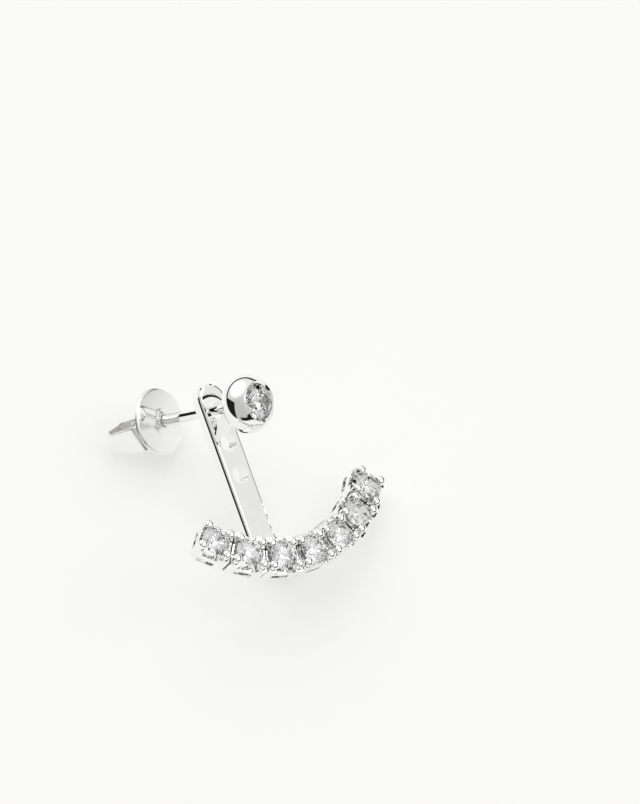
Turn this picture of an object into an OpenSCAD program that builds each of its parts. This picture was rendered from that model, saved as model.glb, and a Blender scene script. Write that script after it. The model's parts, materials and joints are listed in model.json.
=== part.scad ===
// Ear jacket earring: a stud with its clutch, and an arc of stones that hangs from the stud behind the lobe.
// Sizes are in millimetres. Each piece is drawn as it is worn, with x along the width, y from the front to
// the back and z up, around the middle of the bar's top hole on its front face. The whole is then laid down
// on the surface z = 0 as it rests by itself.

/* [Arc of stones] */
// Diameter of the stones in the arc
arc_stone_d = 2.3; // [2.1:0.05:2.4]
// Distance between the girdles of two neighbouring stones
arc_stone_gap = 0.6; // [0.5:0.05:0.8]
// Radius of the line through the middles of the stones
arc_r = 11.1; // [10:0.1:13]
// How far the middle stone hangs below the top hole
arc_drop = 12.75; // [12:0.05:14]
// How far the middle stone's girdle stands in front of the bar
arc_reach = 5.8; // [5:0.05:7]
// How far the arc faces upward, in degrees
arc_tilt = 6.5; // [0:0.5:12]
// How steeply the ends of the arc sweep back
arc_sweep = 0.22; // [0:0.01:0.4]

/* [Cups] */
// Width of a cup across the arc
cup_w = 2.86; // [2.75:0.01:3]
// Length of an end cup's free half, from the stone's middle
cup_end = 1.24; // [1.2:0.01:1.5]
// Depth of a cup below the girdle of its stone
cup_depth = 1.8; // [1.7:0.05:2.4]
// Thickness of a cup's walls
cup_wall = 0.3; // [0.25:0.01:0.36]
// Radius of a cup's corners
cup_corner = 0.2; // [0.1:0.02:0.4]
// Radius of the corners at the free ends of the arc
end_corner = 0.6; // [0.3:0.02:0.8]
// Width of the groove between two cups
cup_groove = 0.1; // [0.06:0.01:0.16]
// Height of the solder that joins two cups
solder_h = 0.5; // [0.3:0.05:1]
// How far the rail on a cup's outer and inner side lies below the girdle
rail_below = 0.6; // [0.45:0.01:0.7]
// How far the wall between two stones ends below the girdle
wall_below = 0.28; // [0.2:0.01:0.5]
// Height of the window in a cup's side
window_h = 0.46; // [0.3:0.02:0.6]
// Length of the window in a cup's side
window_l = 1.45; // [1.2:0.05:1.5]
// Height of the cup's foot below its windows
foot_h = 0.26; // [0.2:0.02:0.5]
// Diameter of the round opening in a cup's foot
foot_bore_d = 1.5; // [1:0.05:1.7]

/* [Prongs] */
// Diameter of a prong and of its round tip
prong_d = 0.6; // [0.5:0.02:0.62]
// Distance across the arc between two prong tips
prong_across = 1.79; // [1.7:0.01:1.9]
// Distance from a prong to the next cup's prong
prong_pair = 0.84; // [0.75:0.01:0.95]
// Distance from the middle of an end stone to its outer prongs
prong_end = 0.94; // [0.88:0.01:0.96]
// Height of the middle of a prong's tip above the girdle
prong_rise = 0.16; // [0.1:0.01:0.25]
// How far a prong's foot stands outside its tip
prong_lean = 0.24; // [0.1:0.01:0.26]

/* [Bar] */
// Width of the bar
bar_w = 2.55; // [2.4:0.05:2.8]
// Thickness of the bar
bar_t = 1.0; // [0.8:0.05:1.1]
// Height of the bar's round end above the middle of the top hole
bar_top = 2.15; // [1.9:0.05:2.6]
// Distance from the top hole down to the upper face of the leg that carries the arc
leg_drop = 11.5; // [11:0.05:11.6]
// Inner radius of the bend between the bar and its leg
bend_r = 1.1; // [0.6:0.05:1.4]
// Radius of the rounded front edges of the bar
bar_round = 0.25; // [0.1:0.01:0.3]
// Number of holes in the bar
hole_count = 3; // [1:1:3]
// Distance between two holes
hole_pitch = 2.7; // [2.3:0.05:3]
// Diameter of the holes
hole_d = 1.45; // [1.4:0.05:1.6]

/* [Stud] */
// Diameter of the stud's stone
stud_stone_d = 3.1; // [2.8:0.05:3.2]
// Diameter of the round bezel
bezel_d = 4.7; // [4.6:0.05:5]
// Depth of the bezel's whole oval, front to back
bezel_depth = 3.6; // [3.2:0.1:3.8]
// Radius of the bezel's lip, from the stud's axis to its crest
lip_r = 1.68; // [1.64:0.01:1.75]
// How far the lip reaches over the edge of the stone
lip_over = 0.08; // [0.04:0.01:0.12]
// How far the stone's girdle lies behind the lip's crest
stone_sunk = 0.3; // [0.25:0.01:0.4]
// Diameter of the post
post_d = 0.86; // [0.8:0.02:0.9]
// Length of the post behind the bezel
post_l = 10.6; // [9.5:0.1:11]
// Distance from the middle of the hole to the middle of the bezel
stud_reach = 3.75; // [3.5:0.05:4.5]
// How far the stud leans sideways in its hole, in degrees
stud_side = 10.7; // [0:0.1:12]
// How far the stud leans down in its hole, in degrees
stud_down = 6.8; // [0:0.1:8]

/* [Clutch] */
// Diameter of the clutch's plate
plate_d = 5.4; // [5.2:0.05:5.8]
// Thickness of the clutch's sheet
sheet_t = 0.28; // [0.24:0.01:0.34]
// Distance from the middle of the hole in the bar to the clutch's plate
clutch_back = 5.6; // [5:0.1:6]
// Clearance between the post and the clutch, all round
clutch_fit = 0.04; // [0.02:0.01:0.08]
// Width of the raised rib across the plate
rib_w = 1.1; // [0.8:0.05:1.3]
// Height of the rib
rib_h = 0.3; // [0.2:0.01:0.32]
// Outer diameter of the collar around the hole
collar_d = 1.7; // [1.5:0.05:1.9]
// Height of the collar
collar_h = 0.4; // [0.36:0.01:0.6]
// Angle between the rib and the line of the two scrolls, in degrees
rib_turn = -47; // [-90:1:90]
// How far the clutch is turned round the post, in degrees
clutch_turn = 20; // [-90:1:90]
// Width of a scroll's strip where it leaves the plate
strip_w = 2.3; // [2.2:0.05:2.8]
// Width of a scroll's strip at the back
strip_end_w = 1.7; // [1.4:0.05:2.2]
// Radius of the bend where a scroll leaves the plate
scroll_bend = 0.5; // [0.4:0.05:0.6]
// Radius of the curl at a scroll's inner end
curl_r = 0.42; // [0.34:0.02:0.46]
// Distance from the post's axis to the outer side of the wide scroll
wide_out = 2.65; // [2.5:0.05:2.8]
// Depth of the wide scroll behind the plate
wide_depth = 3.9; // [3.4:0.1:4.2]
// Distance from the post's axis to the outer side of the tight scroll
tight_out = 2.4; // [2.3:0.05:2.6]
// Depth of the tight scroll behind the plate
tight_depth = 2.4; // [2.2:0.1:3.2]

/* [Hidden] */
// The arc has seven stones, and its first and last cups have free ends
stone_count = 7;
middle = (stone_count + 1) / 2;
// Clearance all round a set stone
stone_clear = 0.03;
// Shares of a round brilliant's radius, from the middle of its girdle
table_share = 0.57;
crown_share = 0.3;
girdle_share = 0.05;
pavilion_share = 0.86;
star_share = 0.5;
lower_share = 0.24;
// Small overlap that joins two drawn shapes
join = 0.03;
arc_steps = 6;
round_fn = 48;
edge_fn = 96;
// Rough direction of up as the earring lies, which settle() then makes exact
rough_up = [-0.41, -0.76, 0.5];
settle_steps = 6;
// Directions of the facets' borders on a rounded edge, from the bar's side to its front
round_turns = [0, 38, 70, 90];

arc_step = 2 * asin((arc_stone_d + arc_stone_gap) / arc_r / 2);
half_step = arc_step / 2;
prong_r = prong_d / 2;
post_r = post_d / 2;
leg_z = -leg_drop;

// Places of the pieces as worn
function cup_phi(i) = (i - middle) * arc_step;
function cup_bow(i) = atan(arc_sweep * sin(cup_phi(i)));
function cup_from_middle(i) =
    let (rise = 1 - cos(cup_phi(i)))
    arc_r * [sin(cup_phi(i)), arc_sweep * rise, rise];

// A cup is drawn with x along the arc, y toward the arc's centre and z to the front, its girdle at z = 0
module at_cup(i) {
    translate([0, -arc_reach, -arc_drop])
        rotate([-arc_tilt, 0, 0])
            translate(cup_from_middle(i))
                rotate([0, -cup_phi(i), 0])
                    rotate([0, 0, cup_bow(i)])
                        rotate([90, 0, 0])
                            children();
}

// The stud and its clutch are drawn with z along the post to the front, the middle of the hole at z = 0
module at_stud() {
    translate([0, bar_t / 2, 0])
        rotate([0, 0, stud_side])
            rotate([90 + stud_down, 0, 0])
                children();
}

// The clutch is drawn with z along the post, its plate's front at z = 0
module at_clutch() {
    at_stud()
        translate([0, 0, -clutch_back])
            rotate([0, 0, clutch_turn])
                children();
}

// Points of an arc
function arc_points(middle_at, radius, from, to, steps = arc_steps) =
    [for (k = [0 : steps])
        let (a = from + (to - from) * k / steps)
        middle_at + radius * [cos(a), sin(a)]];

// Round brilliant: table, stars, upper girdle, lower girdle, pavilion and culet
function ring(count, radius, height, turn = 0) =
    [for (k = [0 : count - 1])
        let (a = turn + 360 * k / count)
        [radius * cos(a), radius * sin(a), height]];
function star_r(r) = r * (table_share * cos(22.5) + star_share * (1 - table_share * cos(22.5)));
function star_h(r) = r * (girdle_share / 2 + crown_share * (1 - star_r(1) * cos(22.5)) / (1 - table_share));
function lower_h(r) = -r * (girdle_share / 2 + pavilion_share * (1 - lower_share * cos(22.5)));

module brilliant(d) {
    r = d / 2;
    points = concat(
        ring(8, table_share * r, (girdle_share / 2 + crown_share) * r),
        ring(8, star_r(r), star_h(r), 22.5),
        ring(16, r, girdle_share / 2 * r),
        ring(16, r, -girdle_share / 2 * r),
        ring(8, lower_share * r, lower_h(r), 22.5),
        [[0, 0, -(girdle_share / 2 + pavilion_share) * r]]);
    star = 8;
    upper = 16;
    under = 32;
    low = 48;
    culet = 56;
    faces = concat(
        [[7, 6, 5, 4, 3, 2, 1, 0]],
        [for (k = [0 : 7]) [k, (k + 1) % 8, star + k]],
        [for (k = [0 : 7]) [k, star + k, upper + 2 * k]],
        [for (k = [0 : 7]) [k, upper + 2 * k, star + (k + 7) % 8]],
        [for (k = [0 : 7]) [star + k, upper + 2 * k + 1, upper + 2 * k]],
        [for (k = [0 : 7]) [star + k, upper + (2 * k + 2) % 16, upper + 2 * k + 1]],
        [for (j = [0 : 15]) [upper + j, upper + (j + 1) % 16, under + (j + 1) % 16]],
        [for (j = [0 : 15]) [upper + j, under + (j + 1) % 16, under + j]],
        [for (k = [0 : 7]) [under + 2 * k, under + 2 * k + 1, low + k]],
        [for (k = [0 : 7]) [under + 2 * k + 1, under + (2 * k + 2) % 16, low + k]],
        [for (k = [0 : 7]) [low + k, culet, under + 2 * k]],
        [for (k = [0 : 7]) [under + 2 * k, culet, low + (k + 7) % 8]]);
    polyhedron(points = points, faces = faces);
}

// The space that a brilliant of this diameter needs in its setting
module stone_space(d) {
    r = d / 2;
    c = stone_clear;
    rotate_extrude($fn = round_fn)
        polygon([
            [0, (girdle_share / 2 + crown_share) * r + c],
            [table_share * r + c, (girdle_share / 2 + crown_share) * r + c],
            [star_r(r) + c, star_h(r) + c],
            [r + c, girdle_share / 2 * r + c],
            [r + c, -girdle_share / 2 * r - c],
            [0, -(girdle_share / 2 + pavilion_share) * r - 2 * c]]);
}

// Half length of a cup at a distance y toward the arc's centre, on the side s = -1 or 1
function is_free(i, s) = (i == 1 && s < 0) || (i == stone_count && s > 0);
function side_x(i, s, y, inset) =
    is_free(i, s) ? cup_end - inset :
    (arc_r - y) * tan(half_step) - (cup_groove / 2 + inset) / cos(half_step);

// Outline of a cup with round corners, moved inward by inset
function corner_r(i, s) = is_free(i, s) ? end_corner : cup_corner;
function side_lean(i, s) = is_free(i, s) ? 0 : half_step;
function corner_at(i, s, top, inset, r) =
    let (y = top * (cup_w / 2 - inset - r)) [s * side_x(i, s, y, inset + r), y];
function cup_outline(i, inset, extra) =
    let (
        rl = corner_r(i, -1) + extra,
        rr = corner_r(i, 1) + extra,
        ll = side_lean(i, -1),
        lr = side_lean(i, 1))
    concat(
        arc_points(corner_at(i, 1, -1, inset, rr), rr, -90, lr),
        arc_points(corner_at(i, 1, 1, inset, rr), rr, lr, 90),
        arc_points(corner_at(i, -1, 1, inset, rl), rl, 90, 180 - ll),
        arc_points(corner_at(i, -1, -1, inset, rl), rl, 180 - ll, 270));

// Place of a prong's tip, on the side s along the arc and the side t across it
function prong_x(i, s, t) =
    is_free(i, s) ? prong_end :
    (arc_r - t * prong_across / 2) * tan(half_step) - prong_pair / 2 / cos(half_step);

module prong(i, s, t) {
    tip = [s * prong_x(i, s, t), t * prong_across / 2, prong_rise];
    drop = prong_rise + rail_below + join;
    translate(tip) {
        sphere(r = prong_r, $fn = 32);
        rotate([t * atan(prong_lean / (prong_rise + rail_below)), 0, 0])
            translate([0, 0, -drop])
                cylinder(r = prong_r, h = drop, $fn = 32);
    }
}

// A scallop with round lower corners, cut along y through the top of a cup
module scallop(half, r, bottom, top, length) {
    rotate([90, 0, 0])
        linear_extrude(height = length, center = true)
            polygon(concat(
                [[half, top], [-half, top]],
                arc_points([-half + r, bottom + r], r, 180, 270),
                arc_points([half - r, bottom + r], r, 270, 360)));
}

module cup(i) {
    shoulder = -wall_below / 2;
    window_z = -cup_depth + foot_h + window_h / 2;
    inner_row = min(prong_x(i, -1, 1), prong_x(i, 1, 1)) - prong_r;
    outer_row = min(prong_x(i, -1, -1), prong_x(i, 1, -1)) - prong_r;
    across_row = prong_across / 2 - prong_r;
    fillet = 0.8 * prong_r;
    difference() {
        union() {
            difference() {
                translate([0, 0, -cup_depth])
                    linear_extrude(height = cup_depth + shoulder)
                        polygon(cup_outline(i, 0, 0));
                translate([0, cup_w / 2, 0])
                    scallop(inner_row, fillet, -rail_below, prong_d, cup_w);
                translate([0, -cup_w / 2, 0])
                    scallop(outer_row, fillet, -rail_below, prong_d, cup_w);
                rotate([0, 0, 90])
                    scallop(across_row, fillet, -wall_below, prong_d, 2 * cup_w);
            }
            for (s = [-1, 1], t = [-1, 1])
                prong(i, s, t);
        }
        translate([0, 0, -cup_depth + foot_h])
            linear_extrude(height = cup_depth - foot_h - rail_below + join)
                polygon(cup_outline(i, cup_wall, 0.1));
        translate([0, 0, -cup_depth - join])
            cylinder(d = foot_bore_d, h = foot_h + 2 * join, $fn = round_fn);
        translate([-window_l / 2, -cup_w, window_z - window_h / 2])
            cube([window_l, 2 * cup_w, window_h]);
        if (i == 1 || i == stone_count)
            translate([i == 1 ? -cup_w : 0, -window_l / 2, window_z - window_h / 2])
                cube([cup_w, window_l, window_h]);
        stone_space(arc_stone_d);
    }
}

// Solder between a cup and the next one
module solder(i) {
    reach = arc_r * tan(half_step);
    translate([reach - cup_groove - join, -(cup_w / 2 - join), -cup_depth])
        cube([2 * cup_groove + 2 * join, cup_w - 2 * join, solder_h]);
}

// What the rounded front edges take away, from the bar's middle line outward and back from its front face
round_cut = concat(
    [for (a = round_turns) [bar_w / 2 - bar_round * (1 - cos(a)), bar_round * (1 - sin(a))]],
    [[bar_w / 2 - bar_round, -join], [bar_w / 2 + join, -join], [bar_w / 2 + join, bar_round]]);

// The front edges from the bar's round end down its sides, through the bend and along the leg
module bar_rounds() {
    straight_top = bar_top - bar_w / 2;
    intersection() {
        translate([0, 0, straight_top])
            rotate([-90, 0, 0])
                rotate_extrude($fn = edge_fn)
                    polygon(round_cut);
        translate([-bar_w, -bar_w, straight_top])
            cube(2 * bar_w);
    }
    for (s = [0, 1])
        mirror([s, 0, 0]) {
            translate([0, 0, leg_z + bend_r])
                linear_extrude(height = straight_top - leg_z - bend_r)
                    polygon(round_cut);
            translate([0, -bend_r, leg_z + bend_r])
                rotate([0, 90, 0])
                    rotate_extrude($fn = edge_fn)
                        polygon([for (p = round_cut) [bend_r + p[1], p[0]]]);
            translate([0, -bend_r, leg_z])
                rotate([90, 0, 0])
                    linear_extrude(height = leg_l() - bend_r)
                        polygon([for (p = round_cut) [p[0], -p[1]]]);
        }
}

module bar() {
    long = bar_top + leg_drop + bar_t;
    difference() {
        intersection() {
            // Side view: bar, bend and leg
            rotate([90, 0, 90])
                linear_extrude(height = bar_w, center = true) {
                    translate([0, leg_z + bend_r])
                        square([bar_t, bar_top + leg_drop - bend_r]);
                    difference() {
                        translate([-bend_r, leg_z + bend_r])
                            circle(r = bend_r + bar_t, $fn = edge_fn);
                        translate([-bend_r, leg_z + bend_r])
                            circle(r = bend_r, $fn = edge_fn);
                        translate([-2 * arc_reach, leg_z + bend_r])
                            square([4 * arc_reach, 4 * arc_reach]);
                        translate([-bend_r - 4 * arc_reach, leg_z - 2 * arc_reach])
                            square([4 * arc_reach, 4 * arc_reach]);
                    }
                    translate([-leg_l(), leg_z - bar_t])
                        square([leg_l() - bend_r, bar_t]);
                }
            // Front view: straight sides under a round end
            rotate([90, 0, 0])
                linear_extrude(height = 8 * bar_t + 2 * arc_reach, center = true) {
                    translate([0, bar_top - bar_w / 2])
                        circle(d = bar_w, $fn = edge_fn);
                    translate([-bar_w / 2, bar_top - bar_w / 2 - long])
                        square([bar_w, long]);
                }
        }
        for (k = [0 : hole_count - 1])
            translate([0, bar_t / 2, -k * hole_pitch])
                rotate([90, 0, 0])
                    cylinder(d = hole_d, h = 2 * bar_t, center = true, $fn = round_fn);
        bar_rounds();
    }
}

// The leg ends in the foot of the middle cup
function leg_l() =
    arc_reach - (cup_depth - foot_h / 2) * cos(arc_tilt) - (arc_drop - leg_drop) * tan(arc_tilt);

module jacket_frame() {
    color("silver")
        laid() {
            bar();
            for (i = [1 : stone_count])
                at_cup(i) {
                    cup(i);
                    if (i < stone_count)
                        solder(i);
                }
        }
}

module jacket_stone(i) {
    color("azure")
        laid()
            at_cup(i)
                brilliant(arc_stone_d);
}

// Outline of the bezel: an oval body, a round lip, and the way in to the stone
bezel_r = bezel_d / 2;
lip_z = bezel_depth / 2 * sqrt(1 - pow(lip_r / bezel_r, 2));
stud_girdle = stud_reach + lip_z - stone_sunk;

module bezel() {
    back_turn = acos(post_r / bezel_r);
    front_turn = acos(lip_r / bezel_r);
    rotate_extrude($fn = edge_fn)
        polygon(concat(
            [[0, -bezel_depth / 2 * sin(back_turn)]],
            [for (k = [0 : 24])
                let (a = -back_turn + (front_turn + back_turn) * k / 24)
                [bezel_r * cos(a), bezel_depth / 2 * sin(a)]],
            [[stud_stone_d / 2 - lip_over, lip_z - stone_sunk / 4], [0, lip_z - stone_sunk / 4]]));
}

module stud_setting() {
    back = stud_reach - bezel_depth / 2;
    color("silver")
        laid()
            at_stud()
                difference() {
                    union() {
                        translate([0, 0, stud_reach])
                            bezel();
                        translate([0, 0, back - post_l + post_r])
                            cylinder(r = post_r, h = post_l, $fn = round_fn);
                        translate([0, 0, back - post_l + post_r])
                            sphere(r = post_r, $fn = round_fn);
                    }
                    translate([0, 0, stud_girdle])
                        stone_space(stud_stone_d);
                    translate([0, 0, stud_girdle])
                        cylinder(r = stud_stone_d / 2 - lip_over, h = bezel_depth, $fn = round_fn);
                }
}

module stud_stone() {
    color("azure")
        laid()
            at_stud()
                translate([0, 0, stud_girdle])
                    brilliant(stud_stone_d);
}

// A scroll's outline, outward from the post and back from the plate, on the side 1 or -1 of its middle line
scroll_in = post_r + 2 * clutch_fit + sheet_t / 2;
scroll_front = -1.5 * sheet_t + join;
curl_z = scroll_front - 1.8 * sheet_t - curl_r;

function scroll_side(out, depth, side) =
    let (
        mid = out - sheet_t / 2,
        r = (mid - scroll_in) / 2,
        rear = -sheet_t - depth + sheet_t / 2 + r)
    concat(
        [[post_r, scroll_front + side * sheet_t / 2]],
        arc_points([mid - scroll_bend, scroll_front - scroll_bend], scroll_bend + side * sheet_t / 2, 90, 0),
        arc_points([mid - r, rear], r + side * sheet_t / 2, 0, -180, 16),
        arc_points([scroll_in + curl_r, curl_z], curl_r + side * sheet_t / 2, 180, -40, 16));

function reversed(list) = [for (k = [len(list) - 1 : -1 : 0]) list[k]];

// Half width of a scroll's strip at a height z behind the plate
function strip_half(z) = (strip_w + (strip_end_w - strip_w) * min(1, max(0, -z / wide_depth))) / 2;

module scroll(out, depth) {
    intersection() {
        rotate([90, 0, 0])
            linear_extrude(height = strip_w, center = true)
                polygon(concat(scroll_side(out, depth, 1), reversed(scroll_side(out, depth, -1))));
        rotate([90, 0, 90])
            linear_extrude(height = 3 * out, center = true)
                polygon([
                    [strip_w / 2, 0],
                    [strip_end_w / 2, -wide_depth],
                    [strip_end_w / 2, -2 * wide_depth],
                    [-strip_end_w / 2, -2 * wide_depth],
                    [-strip_end_w / 2, -wide_depth],
                    [-strip_w / 2, 0]]);
    }
}

module clutch_body() {
    difference() {
        union() {
            translate([0, 0, -sheet_t])
                cylinder(d = plate_d, h = sheet_t, $fn = edge_fn);
            intersection() {
                rotate([0, 90, rib_turn])
                    translate([rib_w / 2 - rib_h, 0, 0])
                        cylinder(d = rib_w, h = 2 * plate_d, center = true, $fn = 32);
                translate([0, 0, -sheet_t / 2])
                    cylinder(d = plate_d - 2 * sheet_t, h = plate_d, $fn = edge_fn);
            }
            translate([0, 0, -sheet_t])
                cylinder(d = collar_d, h = sheet_t + collar_h, $fn = round_fn);
            scroll(tight_out, tight_depth);
            rotate([0, 0, 180])
                scroll(wide_out, wide_depth);
        }
        cylinder(r = post_r + clutch_fit, h = 4 * wide_depth, center = true, $fn = round_fn);
    }
}

module clutch() {
    color("gainsboro")
        laid()
            at_clutch()
                clutch_body();
}

// Points that may touch the surface, in the places of the pieces as worn
function turn_x(a) = [[1, 0, 0], [0, cos(a), -sin(a)], [0, sin(a), cos(a)]];
function turn_y(a) = [[cos(a), 0, sin(a)], [0, 1, 0], [-sin(a), 0, cos(a)]];
function turn_z(a) = [[cos(a), -sin(a), 0], [sin(a), cos(a), 0], [0, 0, 1]];

function cup_point(i, p) =
    let (own = turn_y(-cup_phi(i)) * (turn_z(cup_bow(i)) * (turn_x(90) * p)))
    [0, -arc_reach, -arc_drop] + turn_x(-arc_tilt) * (cup_from_middle(i) + own);
function stud_point(p) = [0, bar_t / 2, 0] + turn_z(stud_side) * (turn_x(90 + stud_down) * p);
function clutch_point(p) = stud_point([0, 0, -clutch_back] + turn_z(clutch_turn) * p);

bend_outer = arc_points([-bend_r, leg_z + bend_r], bend_r + bar_t, 270, 360, edge_fn / 4);
bend_points = [for (p = bend_outer, s = [-1, 1]) [s * bar_w / 2, p[0], p[1]]];
cup_points = [for (i = [1 : stone_count], p = cup_outline(i, 0, 0)) cup_point(i, [p[0], p[1], -cup_depth])];
scroll_points = concat(
    [for (p = scroll_side(tight_out, tight_depth, 1), s = [-1, 1])
        clutch_point([p[0], s * strip_half(p[1]), p[1]])],
    [for (p = scroll_side(wide_out, wide_depth, 1), s = [-1, 1])
        clutch_point([-p[0], s * strip_half(p[1]), p[1]])]);

// The earring rests on its lowest points of these three kinds
function lowest(points, up) =
    let (heights = [for (p = points) p * up])
    points[search(min(heights), heights)[0]];
function settle(up, steps) =
    steps == 0 ? up :
    let (
        a = lowest(scroll_points, up),
        across = cross(lowest(bend_points, up) - a, lowest(cup_points, up) - a),
        next = across / norm(across))
    settle(next * up > 0 ? next : -next, steps - 1);

rest_up = settle(rough_up / norm(rough_up), settle_steps);
rest_level = lowest(scroll_points, rest_up) * rest_up;
aside = [1, 0, 0] - rest_up[0] * rest_up;
rest_x = aside / norm(aside);
rest_y = cross(rest_up, rest_x);

// The middle of what the whole covers on the surface is the origin
function covered(points, along) =
    let (places = [for (p = points) p * along])
    [min(places), max(places)];
ball_points = [for (p = ring(24, bezel_r, stud_reach)) stud_point(p)];
front_points = [for (i = [1 : stone_count], s = [-1, 1], t = [-1, 1])
    cup_point(i, [s * prong_x(i, s, t), t * (prong_across / 2 + prong_r), prong_rise])];
all_points = concat(bend_points, cup_points, scroll_points, ball_points, front_points);
rest_middle_x = (covered(all_points, rest_x)[0] + covered(all_points, rest_x)[1]) / 2;
rest_middle_y = (covered(all_points, rest_y)[0] + covered(all_points, rest_y)[1]) / 2;

// Lays a piece down as the whole earring rests
module laid() {
    multmatrix([
        [rest_x[0], rest_x[1], rest_x[2], -rest_middle_x],
        [rest_y[0], rest_y[1], rest_y[2], -rest_middle_y],
        [rest_up[0], rest_up[1], rest_up[2], -rest_level],
        [0, 0, 0, 1]])
        children();
}

jacket_frame();
jacket_stone(1);  // jacket_stone_1
jacket_stone(2);  // jacket_stone_2
jacket_stone(3);  // jacket_stone_3
jacket_stone(4);  // jacket_stone_4
jacket_stone(5);  // jacket_stone_5
jacket_stone(6);  // jacket_stone_6
jacket_stone(7);  // jacket_stone_7
stud_setting();
stud_stone();
clutch();
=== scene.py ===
import json
import math
import bmesh
import bpy
from mathutils import Matrix, Vector


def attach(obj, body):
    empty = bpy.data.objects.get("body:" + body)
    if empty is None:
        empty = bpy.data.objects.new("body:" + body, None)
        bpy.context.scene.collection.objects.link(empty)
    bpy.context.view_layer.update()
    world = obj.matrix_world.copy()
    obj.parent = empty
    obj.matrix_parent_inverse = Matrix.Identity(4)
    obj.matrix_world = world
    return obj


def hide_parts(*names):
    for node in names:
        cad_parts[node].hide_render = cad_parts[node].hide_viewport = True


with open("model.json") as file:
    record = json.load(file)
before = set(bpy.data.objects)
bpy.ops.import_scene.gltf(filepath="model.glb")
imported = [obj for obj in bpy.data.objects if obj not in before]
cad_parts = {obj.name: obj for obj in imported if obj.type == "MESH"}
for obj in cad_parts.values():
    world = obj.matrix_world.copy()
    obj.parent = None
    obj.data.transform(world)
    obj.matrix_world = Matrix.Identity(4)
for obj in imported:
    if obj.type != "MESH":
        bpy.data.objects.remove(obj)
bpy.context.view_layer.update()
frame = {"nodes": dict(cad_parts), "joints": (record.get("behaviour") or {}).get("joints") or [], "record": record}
MM = 0.001

# Places: the record's two open holes give the earring's own axes, with x across the bar, y to the back
# and z up the bar, and its origin, the middle of the bar's top hole on the bar's front face
BAR_THICK = 1.0
holes = {m["name"]: m for m in frame["record"]["mounts"]}
upper = Vector(holes["middle_hole"]["pos_m"])
lower = Vector(holes["lower_hole"]["pos_m"])
AXIS_Y = Vector(holes["middle_hole"]["axis"]).normalized()
AXIS_Z = (upper - lower).normalized()
AXIS_X = AXIS_Y.cross(AXIS_Z).normalized()
PITCH = (upper - lower).length
ORIGIN = upper + AXIS_Z * PITCH - AXIS_Y * BAR_THICK / 2 * MM


def turned(v):
    return AXIS_X * v[0] + AXIS_Y * v[1] + AXIS_Z * v[2]


def placing(x, z, at):
    y = z.cross(x)
    return lambda p: at + (x * p[0] + y * p[1] + z * p[2]) * MM


# The stud's place: z along the post to the front, from the middle of the bar's top hole
STUD_SIDE = math.radians(10.7)
swing = next(j for j in frame["joints"] if j["name"] == "jacket_swing")
STUD_Z = Vector(swing["axis"]).normalized()
STUD_X = turned((math.cos(STUD_SIDE), math.sin(STUD_SIDE), 0))
STUD_X = (STUD_X - STUD_Z * STUD_X.dot(STUD_Z)).normalized()
STUD_Y = STUD_Z.cross(STUD_X)
HOLE = Vector(swing["pos_m"])
at_stud = placing(STUD_X, STUD_Z, HOLE)

# The clutch's place: z along the post to the front, from the front of its plate
CLUTCH_BACK = 5.6
CLUTCH_TURN = math.radians(20)
CLUTCH_X = STUD_X * math.cos(CLUTCH_TURN) + STUD_Y * math.sin(CLUTCH_TURN)
at_clutch = placing(CLUTCH_X, STUD_Z, HOLE - STUD_Z * CLUTCH_BACK * MM)

# Camera: the photo's view of the earring, with the picture's size and the origin's place in it in pixels
PICTURE_W = 640
PICTURE_H = 804
ORIGIN_ACROSS = 216.9
ORIGIN_DOWN = 409.5
PIXELS_PER_MM = 12.8
DISTANCE = 0.8
CAM_RIGHT = turned((0.752, -0.565, -0.339)).normalized()
CAM_BACK = turned((-0.604, -0.796, -0.011)).normalized()
CAM_UP = CAM_BACK.cross(CAM_RIGHT).normalized()
CAM_RIGHT = CAM_UP.cross(CAM_BACK).normalized()
aside = (PICTURE_W / 2 - ORIGIN_ACROSS) / PIXELS_PER_MM
above = (ORIGIN_DOWN - PICTURE_H / 2) / PIXELS_PER_MM
centre = ORIGIN + (CAM_RIGHT * aside + CAM_UP * above) * MM
cam_data = bpy.data.cameras.new("camera")
cam = bpy.data.objects.new("camera", cam_data)
bpy.context.collection.objects.link(cam)
cam.matrix_world = Matrix((
    (CAM_RIGHT.x, CAM_UP.x, CAM_BACK.x, 0),
    (CAM_RIGHT.y, CAM_UP.y, CAM_BACK.y, 0),
    (CAM_RIGHT.z, CAM_UP.z, CAM_BACK.z, 0),
    (0, 0, 0, 1)))
cam.location = centre + CAM_BACK * DISTANCE
cam_data.sensor_width = 36
cam_data.lens = cam_data.sensor_width * DISTANCE / (PICTURE_H / PIXELS_PER_MM * MM)
cam_data.clip_start = 0.01
cam_data.clip_end = 10
bpy.context.scene.camera = cam


# Materials: each is a shader with a fine noise in its tone and roughness
def new_material(name):
    mat = bpy.data.materials.new(name)
    mat.use_nodes = True
    tree = mat.node_tree
    return mat, tree, tree.nodes["Principled BSDF"]


def noise_field(tree, scale, detail):
    coords = tree.nodes.new("ShaderNodeTexCoord")
    noise = tree.nodes.new("ShaderNodeTexNoise")
    noise.inputs["Scale"].default_value = scale
    noise.inputs["Detail"].default_value = detail
    tree.links.new(coords.outputs["Object"], noise.inputs["Vector"])
    return noise.outputs["Fac"]


def spread(tree, value, low, high):
    span = tree.nodes.new("ShaderNodeMapRange")
    span.inputs["To Min"].default_value = low
    span.inputs["To Max"].default_value = high
    tree.links.new(value, span.inputs["Value"])
    return span.outputs["Result"]


def tinted(tree, value, low, high, tone):
    mix = tree.nodes.new("ShaderNodeMix")
    mix.data_type = "RGBA"
    mix.blend_type = "MULTIPLY"
    mix.inputs[0].default_value = 1.0
    mix.inputs[6].default_value = (*tone, 1)
    tree.links.new(spread(tree, value, low, high), mix.inputs[7])
    return mix.outputs[2]


SHADE_REACH = 0.3
GRAIN_H = 0.02
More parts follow.
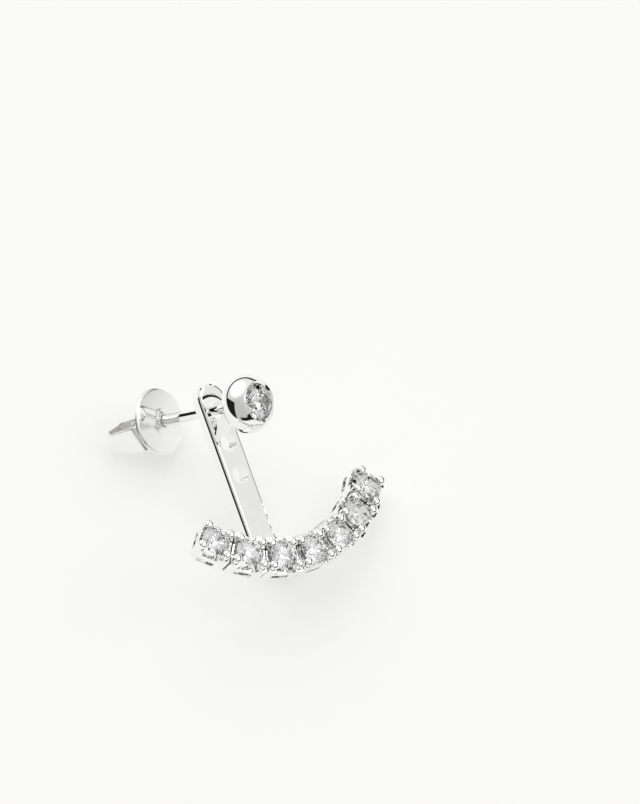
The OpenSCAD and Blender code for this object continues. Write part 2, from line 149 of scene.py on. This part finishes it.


# Painted shade: the metal's colour is darkened in the corners between the pieces, where ambient occlusion finds
# other surfaces near
def painted_crevice_shade(tree, reach, darkest_painted_shade):
    near = tree.nodes.new("ShaderNodeAmbientOcclusion")
    near.inputs["Distance"].default_value = reach * MM
    near.samples = 8
    span = tree.nodes.new("ShaderNodeMapRange")
    span.inputs["From Min"].default_value = 0.2
    span.inputs["From Max"].default_value = 0.7
    span.inputs["To Min"].default_value = darkest_painted_shade
    tree.links.new(near.outputs["AO"], span.inputs["Value"])
    return span.outputs["Result"]


def metal(name, tone, rough, grain, relief=0.0, darkest_painted_shade=1.0):
    mat, tree, shader = new_material(name)
    shader.inputs["Metallic"].default_value = 1.0
    noise = noise_field(tree, grain, 3.0)
    colour = tree.nodes.new("ShaderNodeMix")
    colour.data_type = "RGBA"
    colour.blend_type = "MULTIPLY"
    colour.inputs[0].default_value = 1.0
    tree.links.new(tinted(tree, noise, 0.95, 1.03, tone), colour.inputs[6])
    # Painted shade in the corners multiplies the metal's tone
    tree.links.new(painted_crevice_shade(tree, SHADE_REACH, darkest_painted_shade), colour.inputs[7])
    tree.links.new(colour.outputs[2], shader.inputs["Base Color"])
    tree.links.new(spread(tree, noise, *rough), shader.inputs["Roughness"])
    if relief:
        bump = tree.nodes.new("ShaderNodeBump")
        bump.inputs["Strength"].default_value = relief
        bump.inputs["Distance"].default_value = GRAIN_H * MM
        tree.links.new(noise, bump.inputs["Height"])
        tree.links.new(bump.outputs["Normal"], shader.inputs["Normal"])
    return mat


def gem(name, index, tone):
    mat, tree, shader = new_material(name)
    shader.inputs["IOR"].default_value = index
    shader.inputs["Transmission Weight"].default_value = 1.0
    noise = noise_field(tree, 700, 2.0)
    tree.links.new(tinted(tree, noise, 0.985, 1.0, tone), shader.inputs["Base Color"])
    tree.links.new(spread(tree, noise, 0.0, 0.012), shader.inputs["Roughness"])
    return mat


POLISHED = ((0.95, 0.95, 0.94), (0.02, 0.05), 900)
silver = metal("silver", *POLISHED)
# Painted shade: the jacket's and the clutch's metals are darkened down to 0.4 in their corners
jacket_silver_shaded = metal("jacket_silver_shaded", *POLISHED, darkest_painted_shade=0.4)
satin_shaded = metal("clutch_silver", (0.95, 0.95, 0.93), (0.2, 0.28), 1500, relief=0.15, darkest_painted_shade=0.4)
stone = gem("stone", 2.17, (1, 1, 1))
SLOTS = {"silver": jacket_silver_shaded, "clutch_silver": satin_shaded, "stone": stone}
for part in frame["record"]["subparts"]:
    node = frame["nodes"][part["node"]]
    node.data.materials.clear()
    node.data.materials.append(SLOTS[part["material_slot"]])


# Meshes: a piece is a few shells, and a shell is rows of points in millimetres in the piece's own place
def shell_faces(rows, first):
    n = len(rows[0])
    faces = []
    for i in range(len(rows) - 1):
        for j in range(n):
            k = (j + 1) % n
            a = first + i * n
            faces.append((a + j, a + k, a + n + k, a + n + j))
    last = first + (len(rows) - 1) * n
    faces.append(tuple(first + j for j in reversed(range(n))))
    faces.append(tuple(last + j for j in range(n)))
    return faces


def piece(name, shells, place, body, slot, *nodes):
    verts = []
    faces = []
    for rows in shells:
        faces += shell_faces(rows, len(verts))
        verts += [place(p) for row in rows for p in row]
    mesh = bpy.data.meshes.new(name)
    mesh.from_pydata(verts, [], faces)
    form = bmesh.new()
    form.from_mesh(mesh)
    bmesh.ops.remove_doubles(form, verts=form.verts, dist=1e-7)
    bmesh.ops.dissolve_degenerate(form, edges=form.edges, dist=1e-7)
    bmesh.ops.recalc_face_normals(form, faces=form.faces)
    form.to_mesh(mesh)
    form.free()
    for poly in mesh.polygons:
        poly.use_smooth = True
    mesh.set_sharp_from_angle(angle=math.radians(40))
    mesh.materials.append(silver if body == "stud" else SLOTS[slot])
    obj = bpy.data.objects.new(name, mesh)
    bpy.context.collection.objects.link(obj)
    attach(obj, body)
    if nodes:
        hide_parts(*nodes)
    return obj


def arc(x, z, r, start, end, steps):
    angles = [math.radians(start + (end - start) * k / steps) for k in range(steps + 1)]
    return [(x + r * math.cos(a), z + r * math.sin(a)) for a in angles]


def lathe(profile, around):
    turns = [2 * math.pi * k / around for k in range(around)]
    return [[(r * math.cos(a), r * math.sin(a), z) for a in turns] for r, z in profile]


# Stud: a post, an oval bezel with a round lip, and the seat and the cone under the stone
POST_R = 0.43
POST_L = 10.6
REACH = 3.75
BEZEL_R = 2.35
BEZEL_HALF = 1.8
LIP_R = 1.68
LIP_ROUND = 0.05
SEAT_R = 1.58
THROAT_R = 1.47
STONE_SUNK = 0.3
SEAT_HALF = 0.07
THROAT_FOOT = 0.12
THROAT_TOP = 0.2
CONE = 1.48
FILLET = 0.18
LIP_GAP = 0.03
OVAL_STEPS = 90


def stud_profile():
    back = REACH - BEZEL_HALF
    tip = back - POST_L + POST_R
    lip_turn = math.acos(LIP_R / BEZEL_R)
    lip_z = REACH + BEZEL_HALF * math.sin(lip_turn)
    girdle = lip_z - STONE_SUNK
    start = -math.acos((POST_R + FILLET) / BEZEL_R)
    end = lip_turn - LIP_GAP
    oval = [start + (end - start) * k / OVAL_STEPS for k in range(OVAL_STEPS + 1)]
    body = [(BEZEL_R * math.cos(a), REACH + BEZEL_HALF * math.sin(a)) for a in oval]
    fillet_z = body[0][1]
    points = arc(0, tip, POST_R, -90, 0, 12)
    points += arc(POST_R + FILLET, fillet_z - FILLET, FILLET, 180, 92, 8)
    points += body
    points += arc(LIP_R - LIP_ROUND, lip_z - LIP_ROUND * 0.9, LIP_ROUND, 40, 130, 8)
    points += [(THROAT_R, girdle + THROAT_TOP), (THROAT_R, girdle + THROAT_FOOT)]
    points += [(SEAT_R, girdle + SEAT_HALF), (SEAT_R, girdle - SEAT_HALF), (0, girdle - CONE)]
    return points


piece("stud_metal", [lathe(stud_profile(), 192)], at_stud, "stud", "silver", "stud_setting")

# Prong tips: low round heads over the ends of the prongs, on the same arc of cups as in the CAD. A cup has a
# prong at each corner, where s is -1 on the left and 1 on the right, and t is -1 below and 1 above
ARC_R = 11.1
ARC_DROP = 12.75
ARC_REACH = 5.8
ARC_TILT = math.radians(6.5)
ARC_SWEEP = 0.22
STONES = 7
STONE_PITCH = 2.9
PRONG_ACROSS = 1.79
PRONG_PAIR = 0.84
PRONG_END = 0.94
HEAD_R = 0.36
HEAD_HALF = 0.18
HEAD_RISE = 0.3
ARC_STEP = 2 * math.asin(STONE_PITCH / ARC_R / 2)


def at_cup(i):
    phi = (i - (STONES + 1) / 2) * ARC_STEP
    bow = math.atan(ARC_SWEEP * math.sin(phi))
    rise = 1 - math.cos(phi)
    place = Matrix.Translation((0, -ARC_REACH, -ARC_DROP)) @ Matrix.Rotation(-ARC_TILT, 4, "X")
    place = place @ Matrix.Translation((ARC_R * math.sin(phi), ARC_R * ARC_SWEEP * rise, ARC_R * rise))
    place = place @ Matrix.Rotation(-phi, 4, "Y") @ Matrix.Rotation(bow, 4, "Z")
    place = place @ Matrix.Rotation(math.pi / 2, 4, "X")
    return lambda p: ORIGIN + turned(place @ Vector(p)) * MM


def prong_x(i, s, t):
    if (i, s) in ((1, -1), (STONES, 1)):
        return PRONG_END
    border = (ARC_R - t * PRONG_ACROSS / 2) * math.tan(ARC_STEP / 2)
    return border - PRONG_PAIR / 2 / math.cos(ARC_STEP / 2)


def head(i, s, t):
    middle = Vector((s * prong_x(i, s, t), t * PRONG_ACROSS / 2, HEAD_RISE))
    place = at_cup(i)
    rows = lathe([(HEAD_R * x, HEAD_HALF * z) for x, z in arc(0, 0, 1, -90, 90, 20)], 40)
    return [[place(middle + Vector(p)) for p in row] for row in rows]


heads = [head(i, s, t) for i in range(1, STONES + 1) for s in (-1, 1) for t in (-1, 1)]
piece("prong_tips", heads, lambda p: p, "jacket", "silver")

# Clutch: a pressed plate with a rib and a collar, and two scrolls of sheet behind it
PLATE_R = 2.7
SHEET = 0.28
RIM = 0.2
BORE_R = 0.47
RIB_TURN = math.radians(-47)
RIB_HALF = 0.75
RIB_H = 0.3
RIB_END = 2.55
RIB_FADE = 0.5
COLLAR_R = 0.66
COLLAR_FOOT = 1.0
COLLAR_H = 0.24
DOME = 0.1
BORE_EDGE = 0.06
BORE_DROP = 0.04
BORE_WALL = 0.08
BACK_STEP = 0.06
BACK_DROP = 0.04


def smooth(t):
    t = min(1.0, max(0.0, t))
    return t * t * (3 - 2 * t)


def pressed(x, y):
    r = math.hypot(x, y)
    off = abs(-x * math.sin(RIB_TURN) + y * math.cos(RIB_TURN))
    rib = RIB_H * smooth(1 - off / RIB_HALF) * smooth((RIB_END - r) / RIB_FADE)
    collar = COLLAR_H * smooth((COLLAR_FOOT - r) / (COLLAR_FOOT - COLLAR_R))
    return math.hypot(rib, collar) - DOME * (r / PLATE_R) ** 2


def plate_rows(around):
    turns = [2 * math.pi * k / around for k in range(around)]

    def ring(r, height):
        return [(r * math.cos(a), r * math.sin(a), height) for a in turns]

    def pressed_ring(r, drop):
        return [(x, y, pressed(x, y) - drop) for x, y, z in ring(r, 0)]

    rows = [ring(BORE_R, -SHEET), ring(BORE_R, pressed(BORE_R, 0) - BORE_WALL)]
    for k in range(45):
        r = BORE_R + (PLATE_R - RIM - BORE_R) * k / 44
        rows.append(pressed_ring(r, 0 if r > BORE_R + BORE_EDGE else BORE_DROP))
    for k in range(1, 13):
        turn = math.pi / 2 * k / 12
        drop = (SHEET - DOME) * (1 - math.cos(turn))
        rows.append(pressed_ring(PLATE_R - RIM + RIM * math.sin(turn), drop))
    return rows + [ring(PLATE_R - BACK_STEP, -SHEET - BACK_DROP), ring(BORE_R, -SHEET)]


JOIN = 0.03
SCROLL_FRONT = -1.5 * SHEET + JOIN
STRIP_EDGE = 0.09
GRIP_GAP = 0.08
ROOT_GAP = 0.1
ROOT_END = 1.0
BEND_R = 0.5
CURL_R = 0.42
STRIP_W = 2.3
STRIP_END_W = 1.7
WIDE_OUT = 2.65
WIDE_DEPTH = 3.9
TIGHT_OUT = 2.4
TIGHT_DEPTH = 2.4


def scroll_path(out, depth):
    inner = POST_R + GRIP_GAP + SHEET / 2
    mid = out - SHEET / 2
    r = (mid - inner) / 2
    rear = -SHEET - depth + SHEET / 2 + r
    curl_z = SCROLL_FRONT - 1.8 * SHEET - CURL_R
    path = [(POST_R + ROOT_GAP, SCROLL_FRONT), (ROOT_END, SCROLL_FRONT)]
    path += arc(mid - BEND_R, SCROLL_FRONT - BEND_R, BEND_R, 90, 0, 14)
    path += [(mid, rear + (SCROLL_FRONT - BEND_R - rear) * t) for t in (0.66, 0.33)]
    path += arc(mid - r, rear, r, 0, -180, 40)
    path += [(inner, rear + (curl_z - rear) * t) for t in (0.33, 0.66)]
    path += arc(inner + CURL_R, curl_z, CURL_R, 180, -40, 36)
    return path


def strip_section(width):
    y = width / 2 - STRIP_EDGE
    n = SHEET / 2 - STRIP_EDGE
    corners = ((y, n, 0), (-y, n, 90), (-y, -n, 180), (y, -n, 270))
    return [p for y, n, start in corners for p in arc(y, n, STRIP_EDGE, start, start + 90, 4)]


def scroll_rows(out, depth, side):
    path = scroll_path(out, depth)
    rows = []
    for k, (x, z) in enumerate(path):
        x0, z0 = path[max(0, k - 1)]
        x1, z1 = path[min(len(path) - 1, k + 1)]
        length = math.hypot(x1 - x0, z1 - z0)
        nx, nz = -(z1 - z0) / length, (x1 - x0) / length
        width = STRIP_W + (STRIP_END_W - STRIP_W) * min(1.0, -z / WIDE_DEPTH)
        rows.append([(side * (x + nx * n), side * y, z + nz * n) for y, n in strip_section(width)])
    return rows


piece(
    "clutch_metal",
    [plate_rows(256), scroll_rows(TIGHT_OUT, TIGHT_DEPTH, 1), scroll_rows(WIDE_OUT, WIDE_DEPTH, -1)],
    at_clutch, "clutch", "clutch_silver", "clutch")


# Floor: pale, with a little light of its own so that its shadows stay soft
FLOOR_HALF = 1.5
FLOOR_TONE = (0.54, 0.54, 0.535)
floor_mesh = bpy.data.meshes.new("floor")
corners = [(-FLOOR_HALF, -FLOOR_HALF, 0), (FLOOR_HALF, -FLOOR_HALF, 0)]
corners += [(FLOOR_HALF, FLOOR_HALF, 0), (-FLOOR_HALF, FLOOR_HALF, 0)]
floor_mesh.from_pydata(corners, [], [(0, 1, 2, 3)])
floor = bpy.data.objects.new("floor", floor_mesh)
bpy.context.collection.objects.link(floor)
floor_mat, floor_tree, floor_shader = new_material("floor")
floor_noise = noise_field(floor_tree, 30, 2.0)
floor_colour = tinted(floor_tree, floor_noise, 0.995, 1.005, FLOOR_TONE)
floor_tree.links.new(floor_colour, floor_shader.inputs["Base Color"])
floor_tree.links.new(spread(floor_tree, floor_noise, 0.6, 0.7), floor_shader.inputs["Roughness"])
floor_shader.inputs["Specular IOR Level"].default_value = 0.2
floor_shader.inputs["Emission Color"].default_value = (1.0, 1.0, 0.985, 1)
floor_shader.inputs["Emission Strength"].default_value = 0.5
floor.data.materials.append(floor_mat)

# Studio: a pale dome over a dark band at the horizon, with two soft boxes, a black card, two pale reflectors
# and the photographer's dark shape. Each has soft edges, where a dot product with a direction passes a limit
UP = Vector((0, 0, 1))
FLAT_BACK = Vector((CAM_BACK.x, CAM_BACK.y, 0)).normalized()
world = bpy.data.worlds.new("studio")
bpy.context.scene.world = world
world.use_nodes = True
sky = world.node_tree
way = sky.nodes.new("ShaderNodeTexCoord")


def along(direction):
    dot = sky.nodes.new("ShaderNodeVectorMath")
    dot.operation = "DOT_PRODUCT"
    sky.links.new(way.outputs["Generated"], dot.inputs[0])
    dot.inputs[1].default_value = direction
    return dot.outputs["Value"]


def ramp(value, low, high, start, end):
    span = sky.nodes.new("ShaderNodeMapRange")
    span.interpolation_type = "SMOOTHSTEP"
    for key, number in zip(("From Min", "From Max", "To Min", "To Max"), (low, high, start, end)):
        span.inputs[key].default_value = number
    sky.links.new(value, span.inputs["Value"])
    return span.outputs["Result"]


def combined(operation, a, b):
    node = sky.nodes.new("ShaderNodeMath")
    node.operation = operation
    for k, value in enumerate((a, b)):
        if isinstance(value, float):
            node.inputs[k].default_value = value
        else:
            sky.links.new(value, node.inputs[k])
    return node.outputs["Value"]


# 1 inside the edge and 0 outside it, where the dot product passes from low to high
def inside(direction, low, high):
    return ramp(along(direction), low, high, 0.0, 1.0)


def below(low, high):
    return ramp(along(UP), low, high, 1.0, 0.0)


def product(a, b):
    return combined("MULTIPLY", a, b)


def either(a, b):
    return combined("MAXIMUM", a, b)


def outside(a):
    return combined("SUBTRACT", 1.0, a)


# The dome is brighter to the right and the back
dome = ramp(along(Vector((0.8, 0.5, -0.33))), -1.0, 0.6, 0.42, 0.66)
# The soft boxes are high up at the back left and at the front right
left_box = ramp(along(Vector((0.05, 0.6, 0.8)).normalized()), 0.75, 0.97, 0.0, 0.5)
right_box = ramp(along(Vector((0.572, -0.477, 0.667))), 0.93, 0.97, 0.0, 0.9)
# The dark band is higher at the right, and the reflectors cover parts of it on both sides
low_band = ramp(along(UP - FLAT_BACK * 0.03), 0.17, 0.23, 1.0, 0.0)
high_band = product(inside(Vector((0.85, -0.53, 0.0)), 0.78, 0.84), below(0.3, 0.335))
left_reflector = inside(Vector((-0.87, -0.5, 0.0)), 0.94, 0.97)
right_reflector = inside(Vector((0.87, -0.49, 0.0)), 0.965, 0.985)
band = product(either(low_band, high_band), outside(either(left_reflector, right_reflector)))
# The black card is on the left, cut by two slanted edges that meet at its tip
CARD_BACK = Vector((-0.53, 0.848, 0.0))
CARD_TIP = Vector((-0.611, 0.068, 0.789))
CARD_FRONT = Vector((-0.859, -0.262, 0.44))
card_top = inside(-CARD_BACK.cross(CARD_TIP).normalized(), -0.01, 0.02)
card_side = inside(-CARD_TIP.cross(CARD_FRONT).normalized(), -0.01, 0.02)
card = product(card_top, card_side)
# The photographer stands at the front
person = product(inside(Vector((0.3, -0.95, 0.0)), 0.78, 0.84), below(0.36, 0.42))
# What is left of the light in the dark parts
DARK = 0.012
bright = combined("ADD", dome, combined("ADD", left_box, right_box))
lit = product(bright, outside(either(band, either(card, person))))
light = combined("ADD", lit, DARK)
back = sky.nodes["Background"]
sky.links.new(light, back.inputs["Color"])
back.inputs["Strength"].default_value = 1.29

scene = bpy.context.scene
scene.view_settings.view_transform = "Standard"
scene.cycles.max_bounces = 16
scene.cycles.transmission_bounces = 12
scene.cycles.glossy_bounces = 8
